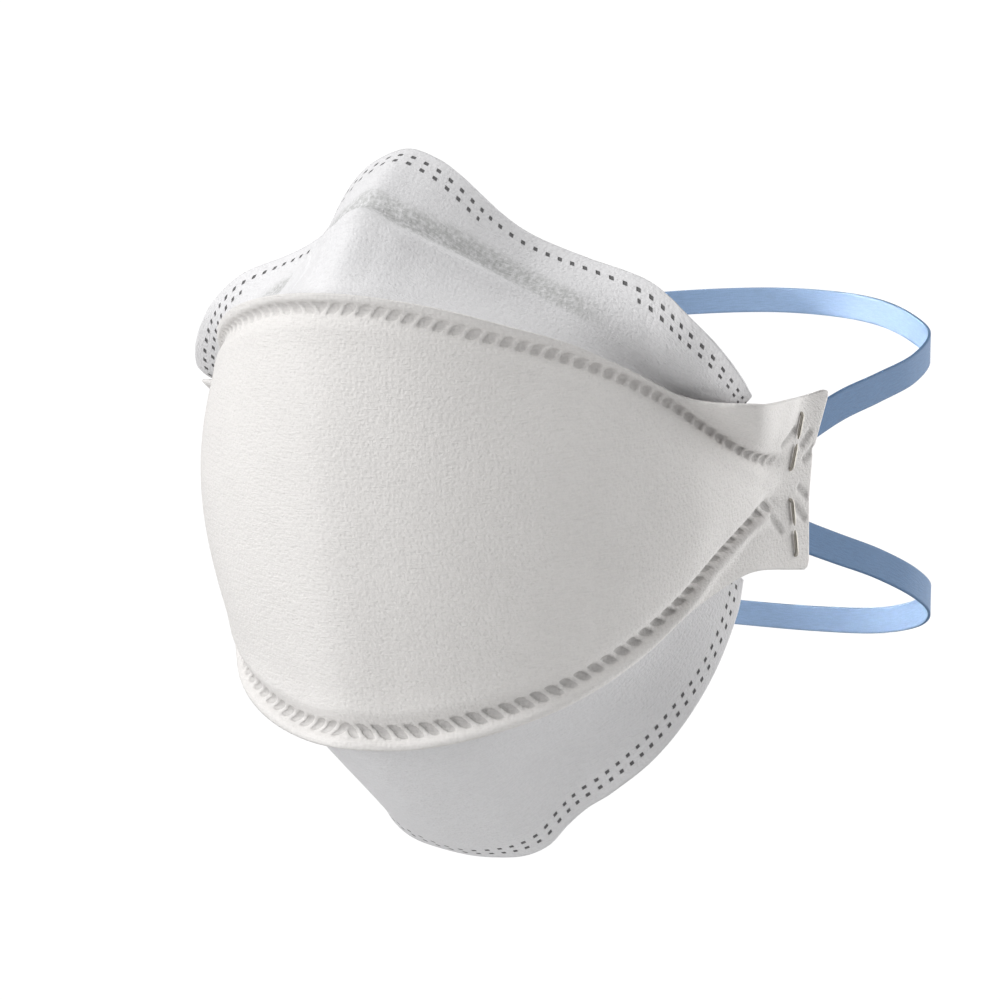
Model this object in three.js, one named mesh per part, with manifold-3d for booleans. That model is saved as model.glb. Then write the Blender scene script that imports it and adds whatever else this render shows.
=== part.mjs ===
// Disposable three-panel folding respirator, opened to its worn shape.
//
// Units are millimetres, +Z is up and the mask faces -Y. The origin lies on the plane of symmetry,
// between the two side tabs, where the wearer's face sits. +X is the wearer's left.
//
// Every panel is a cloth wall that runs from one side tab to the other. Its edges are guide curves:
// short tables of sections that give one half, from the middle (share 0) to where the seams meet
// the tab (share 1) and on to the tab's end (share TAB_END). The other half is its mirror image.

import * as THREE from 'three';
import Module from 'manifold-3d';
import { mergeVertices } from 'three/addons/utils/BufferGeometryUtils.js';

const wasm = await Module();
wasm.setup();

// ---------------------------------------------------------------- driving dimensions

const WALL = 1.2;             // cloth wall, several bonded layers
const GAP = 0.3;              // clearance between neighbouring pieces
const TAB_END = 1.16;         // share at the end of the side tab
const PANEL_FALL = 0.16;      // how far short of the tab the top and bottom panels end, as a share

const STRAP_WIDTH = 6.2;
const STRAP_THICK = 1.0;

const CLIP_THICK = 0.8;
const CLIP_WIDTH = 5.0;
const CLIP_END = 0.53;        // share at which the nose clip ends

const WIRE_RADIUS = 0.3;      // staple wire
const STAPLE_CROWN = 11.4;
const CLINCH = 5.2;           // length of each leg bent over on the outer face

const FRONT_COLUMNS = 29;     // wall sections from the middle to the tab's end
const PANEL_COLUMNS = 26;     // wall sections from the middle to a panel's end
const CLIP_COLUMNS = 16;
const STRAP_STEPS = 56;       // strap sections from end to end

// ---------------------------------------------------------------- guide curves

// Columns of the six guide tables: share of the half length, x, y, z.
const UPPER_SEAM = [
  [0.00, 0.0, -60.0, 36.0],
  [0.11, 11.0, -58.4, 35.4],
  [0.23, 21.5, -53.7, 33.0],
  [0.34, 30.5, -46.5, 30.2],
  [0.46, 38.1, -37.8, 27.0],
  [0.57, 44.2, -28.3, 23.0],
  [0.69, 48.9, -18.6, 18.0],
  [0.80, 52.7, -8.8, 12.3],
  [0.91, 55.6, 1.7, 7.4],
  [1.00, 56.9, 10.2, 5.3],
  [1.08, 58.3, 17.6, 5.3],
  [1.16, 59.7, 24.3, 5.6],
];

const UPPER_LIP = [
  [0.00, 0.0, -61.1, 38.6],
  [0.11, 10.8, -59.6, 38.0],
  [0.23, 22.1, -54.6, 35.9],
  [0.34, 30.9, -47.6, 33.0],
  [0.46, 39.0, -38.3, 29.6],
  [0.57, 44.9, -29.0, 25.1],
  [0.69, 49.8, -18.9, 20.2],
  [0.75, 52.6, -15.8, 18.5],
  [0.80, 56.4, -14.2, 17.9],
  [0.86, 60.6, -13.4, 17.8],
  [0.91, 64.0, -9.6, 17.7],
  [1.00, 62.0, 8.5, 17.4],
  [1.08, 59.1, 20.8, 17.1],
  [1.16, 60.8, 29.0, 18.5],
];

const LOWER_SEAM = [
  [0.00, 0.0, -52.9, -41.9],
  [0.11, 11.0, -50.3, -41.6],
  [0.22, 21.0, -46.7, -39.4],
  [0.34, 31.0, -40.8, -35.9],
  [0.46, 38.8, -33.1, -31.5],
  [0.58, 44.8, -24.4, -26.0],
  [0.70, 49.2, -15.3, -19.4],
  [0.82, 52.0, -6.1, -12.2],
  [0.94, 54.5, 4.0, -6.1],
  [1.00, 56.1, 9.3, -3.7],
  [1.08, 58.2, 17.4, -3.2],
  [1.16, 59.5, 23.3, -3.2],
];

const LOWER_LIP = [
  [0.00, 0.0, -54.6, -45.2],
  [0.11, 11.2, -51.3, -45.0],
  [0.22, 21.8, -47.2, -42.9],
  [0.34, 31.7, -40.5, -39.4],
  [0.46, 39.0, -32.0, -35.3],
  [0.58, 45.2, -23.2, -29.5],
  [0.70, 50.2, -13.8, -22.2],
  [0.76, 52.2, -8.0, -19.7],
  [0.82, 53.5, -2.0, -17.8],
  [0.94, 55.2, 4.0, -16.2],
  [1.00, 56.5, 9.0, -16.0],
  [1.08, 58.3, 17.3, -16.9],
  [1.16, 59.6, 23.6, -17.6],
];

const TOP_EDGE = [
  [0.00, 0.0, -32.2, 62.8],
  [0.08, 6.9, -32.4, 60.8],
  [0.14, 11.6, -32.1, 57.8],
  [0.20, 15.4, -31.1, 54.4],
  [0.27, 18.8, -29.4, 51.1],
  [0.33, 22.2, -27.3, 48.2],
  [0.39, 26.0, -25.3, 45.9],
  [0.52, 35.1, -22.6, 42.0],
  [0.64, 45.0, -21.2, 38.6],
  [0.70, 49.5, -20.8, 35.8],
  [0.77, 53.4, -20.3, 32.3],
  [0.83, 56.9, -18.6, 28.4],
  [0.89, 59.8, -16.4, 24.0],
  [0.95, 61.3, -13.9, 20.4],
  [1.00, 61.4, -11.4, 18.4],
];

const BOTTOM_EDGE = [
  [0.00, 0.0, -9.6, -75.0],
  [0.08, 7.7, -10.1, -74.2],
  [0.15, 13.7, -10.5, -72.7],
  [0.21, 18.5, -10.1, -70.0],
  [0.27, 22.3, -9.4, -65.7],
  [0.34, 26.3, -8.4, -61.9],
  [0.40, 30.7, -7.4, -58.8],
  [0.53, 39.2, -6.3, -51.3],
  [0.66, 45.4, -3.4, -43.0],
  [0.79, 49.4, 0.9, -34.0],
  [0.92, 51.9, 5.0, -23.6],
  [1.00, 52.1, 7.2, -17.6],
];

// How far each panel stands out between its two guide curves, at one third and at two thirds of
// the way across. The front panel is counted from its lower seam, the others from their seam. Its
// last column is for the middle of its upper lip.
const FRONT_SWELL = [
  [0.00, 3.2, 3.4, 0.0],
  [0.23, 3.7, 4.1, 0.0],
  [0.46, 4.8, 5.2, 0.0],
  [0.69, 5.4, 4.9, 0.0],
  [0.80, 4.2, 3.6, 0.3],
  [0.91, 2.4, 2.0, 1.4],
  [1.00, 0.3, 0.3, 0.1],
  [1.16, 0.0, 0.0, 0.0],
];

const TOP_SWELL = [
  [0.00, 2.7, 3.2],
  [0.06, 0.8, 1.4],
  [0.14, -1.6, -0.8],
  [0.26, -2.2, -1.8],
  [0.40, -1.2, -1.2],
  [0.55, 0.2, 0.8],
  [0.70, 0.1, 1.4],
  [0.86, -1.5, -0.5],
  [1.00, -1.5, -0.7],
];

const BOTTOM_SWELL = [
  [0.00, 2.2, 2.4],
  [0.15, 0.4, 0.2],
  [0.30, -1.6, -2.4],
  [0.45, -2.2, -2.8],
  [0.60, -1.8, -2.0],
  [0.80, -0.4, -0.2],
  [1.00, 0.0, 0.0],
];

// The cloth outside the edge welds: how far it turns from the panel's own slope towards straight
// back, and its width.
const EDGE_FLANGE = [
  [0.00, 0.0, 2.7],
  [0.50, 0.0, 2.7],
  [0.75, 0.1, 1.9],
  [1.00, 0.2, 1.5],
];

// Where the nose clip's lower edge runs, as a share of the way from the seam to the top edge.
const CLIP_COURSE = [
  [0.00, 0.53],
  [0.07, 0.51],
  [0.12, 0.53],
  [0.18, 0.56],
  [0.25, 0.58],
  [0.31, 0.575],
  [0.37, 0.55],
  [0.43, 0.49],
  [0.53, 0.38],
];

// Middle lines of the straps, from the free end behind the tab to the back of the head: x, y, z.
const UPPER_STRAP = [
  [55.4, 13.6, 6.4],
  [56.6, 19.0, 8.2],
  [57.8, 28.0, 10.9],
  [58.9, 41.0, 13.9],
  [60.0, 59.0, 16.4],
  [60.3, 79.0, 19.2],
  [56.7, 98.5, 22.9],
  [46.3, 115.0, 26.2],
  [33.3, 129.0, 28.8],
  [18.0, 139.5, 30.2],
  [0.0, 143.5, 30.8],
];

const LOWER_STRAP = [
  [55.2, 13.2, -6.6],
  [56.2, 18.2, -8.5],
  [57.4, 27.0, -11.6],
  [59.0, 38.0, -15.0],
  [61.5, 56.7, -20.6],
  [62.8, 75.6, -27.2],
  [59.7, 94.0, -33.8],
  [51.0, 109.8, -40.0],
  [37.0, 121.4, -44.6],
  [19.0, 128.2, -46.8],
  [0.0, 130.4, -47.4],
];

// The staples' middles on the outer face of the +X tab, and how far the crown leans from upright.
const STAPLES = [
  { name: 'upper_staple', middle: [58.4, 18.4, 8.4], lean: 0.32 },
  { name: 'lower_staple', middle: [58.3, 17.9, -8.6], lean: -0.17 },
];

// ---------------------------------------------------------------- reading the tables

// Smooth interpolation of every column after the first, by cubic pieces through the rows.
function readTable(rows, share) {
  const last = rows.length - 1;
  let row = 0;
  while (row < last - 1 && share > rows[row + 1][0]) row += 1;
  const [start, end] = [rows[row], rows[row + 1]];
  const width = end[0] - start[0];
  const u = (share - start[0]) / width;
  const slope = (i, column) => {
    const [before, after] = [rows[Math.max(i - 1, 0)], rows[Math.min(i + 1, last)]];
    return (after[column] - before[column]) / (after[0] - before[0]);
  };
  return start.slice(1).map((value, index) => {
    const column = index + 1;
    const m0 = slope(row, column) * width;
    const m1 = slope(row + 1, column) * width;
    const rise = end[column] - value;
    return value + u * (m0 + u * (3 * rise - 2 * m0 - m1 + u * (m0 + m1 - 2 * rise)));
  });
}

// A guide over both halves. The mirrored second row in front keeps it smooth at the middle.
function guide(rows) {
  const [share, x, y, z] = rows[1];
  const smooth = [[-share, -x, y, z], ...rows];
  return (at) => {
    const point = new THREE.Vector3(...readTable(smooth, Math.abs(at)));
    if (at < 0) point.x *= -1;
    return point;
  };
}

function evenTable(rows) {
  const [share, ...values] = rows[1];
  const smooth = [[-share, ...values], ...rows];
  return (at) => readTable(smooth, Math.abs(at));
}

const upperSeam = guide(UPPER_SEAM);
const upperLip = guide(UPPER_LIP);
const lowerSeam = guide(LOWER_SEAM);
const lowerLip = guide(LOWER_LIP);
const topEdge = guide(TOP_EDGE);
const bottomEdge = guide(BOTTOM_EDGE);
const frontSwell = evenTable(FRONT_SWELL);
const topSwell = evenTable(TOP_SWELL);
const bottomSwell = evenTable(BOTTOM_SWELL);
const edgeFlange = evenTable(EDGE_FLANGE);
const clipCourse = evenTable(CLIP_COURSE);

const NEARBY = 0.01;          // share step for directions along a curve
const UP = new THREE.Vector3(0, 0, 1);
const BACK = new THREE.Vector3(0, 1, 0);

const mix = (a, b, u) => a.clone().lerp(b, u);
const along = (curve, share) => curve(share + NEARBY).sub(curve(share - NEARBY)).normalize();

// Cubic through 0, third, twoThirds and 0 at u = 0, 1/3, 2/3 and 1.
const swell = (third, twoThirds, u) =>
  4.5 * u * (1 - u) * (third * (2 - 3 * u) + twoThirds * (3 * u - 1));

// ---------------------------------------------------------------- closed walls between two grids

// Columns of points over shares from -end to end.
function makeGrid(columns, end, pointsAt) {
  const count = 2 * columns - 1;
  return Array.from({ length: count }, (_, i) => pointsAt(end * (2 * i / (count - 1) - 1)));
}

// The grid moved by a distance along its outward normals.
function offsetGrid(grid, distance) {
  const difference = (list, i, pick) => {
    const ahead = pick(list[Math.min(i + 1, list.length - 1)]);
    return ahead.clone().sub(pick(list[Math.max(i - 1, 0)]));
  };
  return grid.map((column, i) => column.map((point, j) => {
    const sideways = difference(grid, i, (c) => c[j]);
    const across = difference(column, j, (p) => p);
    return point.clone().addScaledVector(sideways.cross(across).normalize(), distance);
  }));
}

// A closed solid between two grids of the same size, the first one outside.
function wallBetween(outer, inner) {
  const columns = outer.length;
  const rows = outer[0].length;
  const positions = [...outer.flat(), ...inner.flat()].flatMap((p) => [p.x, p.y, p.z]);
  const out = (i, j) => i * rows + j;
  const inn = (i, j) => (columns + i) * rows + j;
  const triangles = [];
  const quad = (a, b, c, d) => triangles.push(a, b, c, a, c, d);
  for (let i = 0; i < columns - 1; i += 1) {
    for (let j = 0; j < rows - 1; j += 1) {
      quad(out(i, j), out(i + 1, j), out(i + 1, j + 1), out(i, j + 1));
      quad(inn(i, j), inn(i, j + 1), inn(i + 1, j + 1), inn(i + 1, j));
    }
    quad(out(i, 0), inn(i, 0), inn(i + 1, 0), out(i + 1, 0));
    quad(out(i, rows - 1), out(i + 1, rows - 1), inn(i + 1, rows - 1), inn(i, rows - 1));
  }
  for (let j = 0; j < rows - 1; j += 1) {
    quad(out(0, j), out(0, j + 1), inn(0, j + 1), inn(0, j));
    quad(out(columns - 1, j), inn(columns - 1, j), inn(columns - 1, j + 1), out(columns - 1, j + 1));
  }
  const geometry = new THREE.BufferGeometry();
  geometry.setAttribute('position', new THREE.Float32BufferAttribute(positions, 3));
  geometry.setIndex(triangles);
  return geometry;
}

const clothWall = (grid) => wallBetween(grid, offsetGrid(grid, -WALL));

// ---------------------------------------------------------------- front panel with side tabs

const FRONT_ROWS = 10;
const LIP_ROWS = 2;

function frontOutward(share) {
  const rise = upperSeam(share).sub(lowerSeam(share));
  return along(upperSeam, share).add(along(lowerSeam, share)).cross(rise).normalize();
}

function frontColumn(share) {
  const [top, bottom] = [upperSeam(share), lowerSeam(share)];
  const [topLip, bottomLip] = [upperLip(share), lowerLip(share)];
  const outward = frontOutward(share);
  const [third, twoThirds, lip] = frontSwell(share);
  const points = [];
  for (let i = 0; i < LIP_ROWS; i += 1) points.push(mix(bottomLip, bottom, i / LIP_ROWS));
  for (let i = 0; i <= FRONT_ROWS; i += 1) {
    const u = i / FRONT_ROWS;
    points.push(mix(bottom, top, u).addScaledVector(outward, swell(third, twoThirds, u)));
  }
  for (let i = 1; i <= LIP_ROWS; i += 1) {
    const u = i / LIP_ROWS;
    points.push(mix(top, topLip, u).addScaledVector(outward, 4 * u * (1 - u) * lip));
  }
  return points;
}

// ---------------------------------------------------------------- top and bottom panels

const PANEL_ROWS = 10;

// Where on the seam a panel's section starts: the last sections fan out from short of the tab.
const seamShare = (share) =>
  share - Math.sign(share) * PANEL_FALL * Math.max(0, 2 * Math.abs(share) - 1) ** 2;

// A panel's surface, at u = 0 just behind the front panel's seam and at u = 1 at its free edge.
function panelSurface(seam, edge, swellAt, side) {
  const start = (share) => seam(seamShare(share))
    .addScaledVector(frontOutward(seamShare(share)), -(WALL + GAP));
  const end = (share) => {
    const outerWelds = edge(share);
    const [turn, width] = edgeFlange(share);
    const slope = outerWelds.clone().sub(start(share)).normalize().lerp(BACK, turn).normalize();
    return outerWelds.addScaledVector(slope, width);
  };
  return (share, u) => {
    const [a, b] = [start(share), end(share)];
    const ahead = along((s) => start(s).add(end(s)), share);
    const facing = ahead.cross(b.clone().sub(a)).normalize().multiplyScalar(side);
    const [third, twoThirds] = swellAt(share);
    return mix(a, b, u).addScaledVector(facing, swell(third, twoThirds, u));
  };
}

const topSurface = panelSurface(upperSeam, topEdge, topSwell, 1);
const bottomSurface = panelSurface(lowerSeam, bottomEdge, bottomSwell, -1);

const across = (surface, share) =>
  Array.from({ length: PANEL_ROWS + 1 }, (_, i) => surface(share, i / PANEL_ROWS));

// ---------------------------------------------------------------- nose clip

// A strip that follows the inner side of the top panel.
function clipGrid(depth) {
  const strip = makeGrid(CLIP_COLUMNS, CLIP_END, (share) => {
    const [lower] = clipCourse(share);
    const length = topSurface(share, 1).distanceTo(topSurface(share, 0));
    return [0, 0.5, 1].map((u) => topSurface(share, lower + u * CLIP_WIDTH / length));
  });
  return offsetGrid(strip, -depth);
}

function noseClip() {
  const face = WALL + GAP;
  return wallBetween(clipGrid(face), clipGrid(face + CLIP_THICK));
}

// ---------------------------------------------------------------- straps

// A flat band on edge along a smooth line through the table's points and their mirror images.
function strap(rows) {
  const near = rows.map((row) => new THREE.Vector3(...row));
  const far = near.slice(0, -1).reverse().map((p) => new THREE.Vector3(-p.x, p.y, p.z));
  const line = new THREE.CatmullRomCurve3([...near, ...far], false, 'centripetal');
  const section = (side) => Array.from({ length: STRAP_STEPS + 1 }, (_, i) => {
    const point = line.getPointAt(i / STRAP_STEPS);
    const ahead = line.getTangentAt(i / STRAP_STEPS);
    const wide = UP.clone().addScaledVector(ahead, -UP.dot(ahead)).normalize();
    const out = ahead.clone().cross(wide);
    point.addScaledVector(out, side * STRAP_THICK / 2);
    return [-0.5, 0.5].map((w) => point.clone().addScaledVector(wide, w * STRAP_WIDTH));
  });
  return wallBetween(section(1), section(-1));
}

// ---------------------------------------------------------------- staples

const WIRE_SIDES = 8;

// The flat part of the +X tab: the direction along it and its outward direction.
const TAB_AHEAD = new THREE.Vector3(0.22, 1, 0).normalize();
const TAB_OUT = TAB_AHEAD.clone().cross(UP);

// A closed round wire through the points, mitred at the bends.
function wire(points, radius) {
  const positions = [];
  points.forEach((point, i) => {
    const before = points[Math.max(i - 1, 0)];
    const after = points[Math.min(i + 1, points.length - 1)];
    const ahead = after.clone().sub(before).normalize();
    const side = TAB_AHEAD.clone().addScaledVector(ahead, -TAB_AHEAD.dot(ahead)).normalize();
    const other = ahead.clone().cross(side);
    for (let k = 0; k < WIRE_SIDES; k += 1) {
      const angle = (2 * Math.PI * k) / WIRE_SIDES;
      const rim = point.clone()
        .addScaledVector(side, radius * Math.cos(angle))
        .addScaledVector(other, radius * Math.sin(angle));
      positions.push(rim.x, rim.y, rim.z);
    }
  });
  const triangles = [];
  const ring = (i, k) => i * WIRE_SIDES + (k % WIRE_SIDES);
  for (let i = 0; i < points.length - 1; i += 1) {
    for (let k = 0; k < WIRE_SIDES; k += 1) {
      triangles.push(ring(i, k), ring(i, k + 1), ring(i + 1, k + 1));
      triangles.push(ring(i, k), ring(i + 1, k + 1), ring(i + 1, k));
    }
  }
  const last = points.length - 1;
  for (let k = 1; k < WIRE_SIDES - 1; k += 1) {
    triangles.push(ring(0, 0), ring(0, k + 1), ring(0, k));
    triangles.push(ring(last, 0), ring(last, k), ring(last, k + 1));
  }
  const geometry = new THREE.BufferGeometry();
  geometry.setAttribute('position', new THREE.Float32BufferAttribute(positions, 3));
  geometry.setIndex(triangles);
  return geometry;
}

// Places along a staple on the +X tab: `up` from its middle along the crown, `out` of the face.
function stapleFrame({ middle, lean }) {
  const crown = UP.clone().addScaledVector(TAB_AHEAD, lean).normalize();
  return (up, out) => new THREE.Vector3(...middle)
    .addScaledVector(crown, up)
    .addScaledVector(TAB_OUT, out);
}

const CLINCH_OUT = GAP + WIRE_RADIUS;
const CROWN_OUT = -(WALL + GAP + STRAP_THICK + GAP + WIRE_RADIUS);

function staple(place) {
  const leg = STAPLE_CROWN / 2;
  const tip = leg - CLINCH;
  return wire([
    place(tip, CLINCH_OUT),
    place(leg, CLINCH_OUT),
    place(leg, CROWN_OUT),
    place(-leg, CROWN_OUT),
    place(-leg, CLINCH_OUT),
    place(-tip, CLINCH_OUT),
  ], WIRE_RADIUS);
}

// Two straight prisms through the cloth, with clearance round each leg.
function legHoles(place) {
  const leg = STAPLE_CROWN / 2;
  const through = 2 * WALL;
  return [leg, -leg].map((up) =>
    wire([place(up, through), place(up, -through)], WIRE_RADIUS + GAP));
}

// ---------------------------------------------------------------- solids

function mirrored(geometry) {
  const copy = geometry.clone().scale(-1, 1, 1);
  const index = copy.getIndex().array;
  for (let i = 0; i < index.length; i += 3) {
    [index[i + 1], index[i + 2]] = [index[i + 2], index[i + 1]];
  }
  return copy;
}

function solidOf(geometry) {
  const merged = mergeVertices(geometry);
  return new wasm.Manifold(new wasm.Mesh({
    numProp: 3,
    vertProperties: merged.getAttribute('position').array,
    triVerts: new Uint32Array(merged.getIndex().array),
  }));
}

function geometryOf(solid) {
  const mesh = solid.getMesh();
  const geometry = new THREE.BufferGeometry();
  geometry.setAttribute('position', new THREE.Float32BufferAttribute(mesh.vertProperties, 3));
  geometry.setIndex([...mesh.triVerts]);
  return geometry;
}

// ---------------------------------------------------------------- materials

const cloth = (color) => new THREE.MeshStandardMaterial({ color, roughness: 0.95, metalness: 0 });
const CENTRE_CLOTH = cloth('#f1f0ee');
const OUTER_CLOTH = cloth('#eaebeb');
const ELASTIC = new THREE.MeshStandardMaterial({ color: '#84a9d8', roughness: 0.6, metalness: 0 });
const STEEL = new THREE.MeshStandardMaterial({ color: '#b9b9b6', roughness: 0.35, metalness: 1 });
const SOFT_METAL = new THREE.MeshStandardMaterial({ color: '#c9cac8', roughness: 0.45, metalness: 1 });

// ---------------------------------------------------------------- assembly

const respirator = new THREE.Group();

function addPiece(name, geometry, material) {
  geometry.computeVertexNormals();
  const mesh = new THREE.Mesh(geometry, material);
  mesh.name = name;
  respirator.add(mesh);
}

let front = solidOf(clothWall(makeGrid(FRONT_COLUMNS, TAB_END, frontColumn)));
for (const row of STAPLES) {
  const place = stapleFrame(row);
  for (const hole of legHoles(place)) {
    front = front.subtract(solidOf(hole)).subtract(solidOf(mirrored(hole)));
  }
  const shape = staple(place);
  addPiece(`${row.name}_left`, shape, STEEL);
  addPiece(`${row.name}_right`, mirrored(shape), STEEL);
}

const topGrid = makeGrid(PANEL_COLUMNS, 1, (share) => across(topSurface, share));
const bottomGrid = makeGrid(PANEL_COLUMNS, 1, (share) => across(bottomSurface, share).reverse());

addPiece('front_panel', geometryOf(front), CENTRE_CLOTH);
addPiece('top_panel', clothWall(topGrid), OUTER_CLOTH);
addPiece('bottom_panel', clothWall(bottomGrid), OUTER_CLOTH);
addPiece('nose_clip', noseClip(), SOFT_METAL);
addPiece('upper_strap', strap(UPPER_STRAP), ELASTIC);
addPiece('lower_strap', strap(LOWER_STRAP), ELASTIC);

export default respirator;
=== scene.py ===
# %% [markdown]
# # A folding respirator, opened to its worn shape
# Three cloth panels are welded together along two seams: a centre panel that runs out into a tab at
# each side, a nose panel above it and a chin panel below it. Two blue elastic bands are stapled to
# the tabs. Everything is built in metres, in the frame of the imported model, where the mask faces -Y.

# %% Load the fixed frame
import math

import bpy
import numpy as np
from mathutils import Matrix, Vector


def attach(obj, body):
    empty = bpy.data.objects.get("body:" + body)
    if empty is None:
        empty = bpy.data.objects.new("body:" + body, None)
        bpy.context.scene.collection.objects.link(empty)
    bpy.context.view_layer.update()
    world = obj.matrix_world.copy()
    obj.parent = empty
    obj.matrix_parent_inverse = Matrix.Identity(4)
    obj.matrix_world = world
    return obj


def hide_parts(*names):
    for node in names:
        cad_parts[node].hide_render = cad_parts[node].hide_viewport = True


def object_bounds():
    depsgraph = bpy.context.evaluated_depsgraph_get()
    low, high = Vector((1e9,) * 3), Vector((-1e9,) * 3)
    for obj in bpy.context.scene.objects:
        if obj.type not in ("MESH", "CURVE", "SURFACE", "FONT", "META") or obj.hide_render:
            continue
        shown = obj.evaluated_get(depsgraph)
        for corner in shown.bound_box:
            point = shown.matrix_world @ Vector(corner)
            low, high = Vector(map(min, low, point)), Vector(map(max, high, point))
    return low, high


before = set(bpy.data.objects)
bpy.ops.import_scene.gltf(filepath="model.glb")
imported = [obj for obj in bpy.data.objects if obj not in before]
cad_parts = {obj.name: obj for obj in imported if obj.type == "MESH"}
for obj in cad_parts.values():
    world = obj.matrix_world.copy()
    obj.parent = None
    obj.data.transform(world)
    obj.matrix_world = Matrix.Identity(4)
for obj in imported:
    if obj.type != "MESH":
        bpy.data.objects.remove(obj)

CAD_BOX = [list(corner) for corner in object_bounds()]
MM = 0.001
print("cad box", CAD_BOX)

# %% [markdown]
# ## Camera, light and floor
# White cloth on white is drawn by its shading alone, so the light has a direction. A soft key lamp
# stands high on the left and a second one low in front of it. A broad glow in the sky fills from
# behind on the right and a weaker one from above, so the surfaces that face half right are the
# darkest. A small lamp lights the inner faces of the bands. The camera sees plain white in place of
# this sky. The floor lies well below, because a mask that a face holds up stands on nothing.

# %% Camera
LENS_MM = 85
CAMERA_AZIMUTH = math.radians(30)
CAMERA_ELEVATION = math.radians(7)
CAMERA_DISTANCE = 0.4202
LOOK_AT = Vector((0.02982, -0.04759, 0.00207))

camera_back = Vector((
    math.sin(CAMERA_AZIMUTH) * math.cos(CAMERA_ELEVATION),
    -math.cos(CAMERA_AZIMUTH) * math.cos(CAMERA_ELEVATION),
    math.sin(CAMERA_ELEVATION),
))
bpy.ops.object.camera_add(location=LOOK_AT + CAMERA_DISTANCE * camera_back)
camera = bpy.context.active_object
camera.name = "camera"
camera.rotation_euler = camera_back.to_track_quat("Z", "Y").to_euler()
camera.data.lens = LENS_MM
camera.data.clip_start = 0.01
bpy.context.scene.camera = camera
bpy.context.scene.view_settings.view_transform = "Standard"
print("camera at", [round(c, 3) for c in camera.location])

# %% Sky, lamps and floor
SKY_SEEN = 1.05
SKY_BASE = 0.02
SKY_TOP = 0.60
SKY_BACK_RIGHT = 2.6
TOP_GLOW = ((0, 0, 1), 0.1, 1.0)
BACK_RIGHT_GLOW = ((0.61, 0.78, -0.1), 0.4, 1.0)

# Lamps: name, place, target, size, watts.
LAMPS = [
    ("key_lamp", (-0.67, -0.63, 0.77), LOOK_AT, 0.7, 8.2),
    ("front_lamp", (-0.31, -1.16, 0.10), LOOK_AT, 0.7, 8.4),
    ("band_lamp", (-0.60, 0.16, 0.16), (0.02, 0.14, 0.0), 0.12, 0.09),
]
BAND_LAMP_SPREAD = math.radians(16)
FLOOR_DEPTH = 0.32
FLOOR_SIZE = 1.1
FLOOR_COLOUR = (0.70, 0.70, 0.70)


class Shade:
    """A node socket that can be used in Python expressions: value maths adds Math nodes."""

    def __init__(self, tree, socket):
        self.tree = tree
        self.socket = socket

    def node(self, kind, settings=None, **sockets):
        """Adds a node: its settings first, then the values or links of its named sockets."""
        made = self.tree.nodes.new(kind)
        for name, value in (settings or {}).items():
            setattr(made, name, value)
        for name, value in sockets.items():
            key = int(name[1:]) if name[1:].isdigit() else name.replace("_", " ")
            if isinstance(value, Shade):
                self.tree.links.new(value.socket, made.inputs[key])
            else:
                made.inputs[key].default_value = value
        return made

    def out(self, kind, settings=None, output=0, **sockets):
        return Shade(self.tree, self.node(kind, settings, **sockets).outputs[output])

    def math(self, operation, *values):
        made = self.tree.nodes.new("ShaderNodeMath")
        made.operation = operation
        for slot, value in zip(made.inputs, values):
            if isinstance(value, Shade):
                self.tree.links.new(value.socket, slot)
            else:
                slot.default_value = value
        return Shade(self.tree, made.outputs[0])

    def __add__(self, other):
        return self.math("ADD", self, other)

    __radd__ = __add__

    def __sub__(self, other):
        return self.math("SUBTRACT", self, other)

    def __rsub__(self, other):
        return self.math("SUBTRACT", other, self)

    def __mul__(self, other):
        return self.math("MULTIPLY", self, other)

    __rmul__ = __mul__

    def __truediv__(self, other):
        return self.math("DIVIDE", self, other)

    def ramp(self, low, high):
        """0 below low, 1 above high and smooth between."""
        return self.out("ShaderNodeMapRange", {"interpolation_type": "SMOOTHSTEP"},
                        Value=self, From_Min=low, From_Max=high)

    def tint(self, low, high):
        """The colour low where the value is 0 and high where it is 1."""
        return self.out("ShaderNodeMix", {"data_type": "RGBA"}, output=2,
                        _0=self, _6=(*low, 1), _7=(*high, 1))


world = bpy.data.worlds.new("studio")
bpy.context.scene.world = world
world.use_nodes = True
sky = world.node_tree.nodes["Background"]
start = Shade(world.node_tree, sky.outputs[0])
direction = start.out("ShaderNodeTexCoord")


def glow(towards, low, high):
    """A soft glow in the sky, from where the direction is low along towards to where it is high."""
    along = start.out("ShaderNodeVectorMath", {"operation": "DOT_PRODUCT"}, output=1,
                      _0=direction, _1=towards)
    return along.ramp(low, high)


studio = SKY_BASE + SKY_TOP * glow(*TOP_GLOW) + SKY_BACK_RIGHT * glow(*BACK_RIGHT_GLOW)
seen = start.out("ShaderNodeLightPath")
strength = seen * SKY_SEEN + (1 - seen) * studio
world.node_tree.links.new(strength.socket, sky.inputs["Strength"])
sky.inputs["Color"].default_value = (1, 1, 1, 1)


def lamp(name, place, target, size, watts):
    """A square area lamp that looks at its target."""
    bpy.ops.object.light_add(type="AREA", location=place)
    made = bpy.context.active_object
    made.name = name
    made.data.size = size
    made.data.energy = watts
    made.rotation_euler = (Vector(place) - Vector(target)).to_track_quat("Z", "Y").to_euler()
    return made


lamps = {row[0]: lamp(*row) for row in LAMPS}
lamps["band_lamp"].data.spread = BAND_LAMP_SPREAD

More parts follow.
